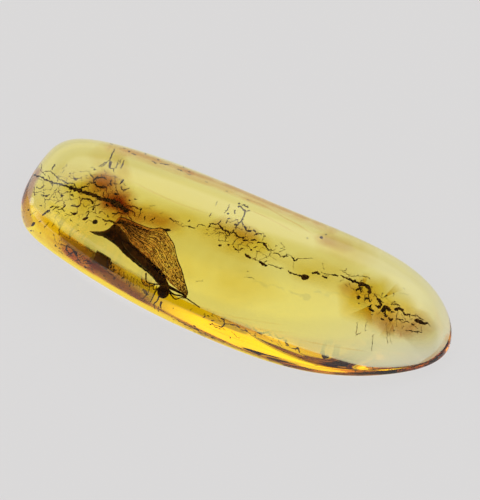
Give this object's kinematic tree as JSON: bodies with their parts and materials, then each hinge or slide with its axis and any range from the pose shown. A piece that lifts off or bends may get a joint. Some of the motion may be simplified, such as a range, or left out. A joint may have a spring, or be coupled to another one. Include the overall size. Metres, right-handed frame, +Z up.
{
  "type": "winged insect in amber",
  "caption": "Polished see-through amber drop with a winged insect, a dark crack web and a debris trail sealed inside, a long rounded slab that rests on a small flat spot",
  "frame": {"origin": "middle of the object's box, on the surface that the flat spot of the underside rests on", "axes": "X runs along the stone, from its blunt end to its thinner end, -Y is the side nearest to the insect's head, Z is up"},
  "size_m": [0.028, 0.0105, 0.0038],
  "materials": {
    "amber": "polished, see-through yellow amber, fossil resin",
    "insect": "dark brown chitin, grainy half see-through wings",
    "cracks": "dull dark brown stain in thin cracks",
    "debris": "dull black-brown plant debris"
  },
  "bodies": {
    "root": {"amber_upper": "amber", "amber_lower": "amber", "insect": "insect", "left_crack_web": "cracks", "centre_crack_web": "cracks", "debris_1": "debris", "debris_2": "debris", "debris_3": "debris", "debris_4": "debris", "debris_5": "debris", "debris_6": "debris", "debris_7": "debris", "debris_8": "debris", "debris_9": "debris", "debris_10": "debris", "debris_11": "debris", "debris_12": "debris", "debris_13": "debris"}
  },
  "joints": []
}
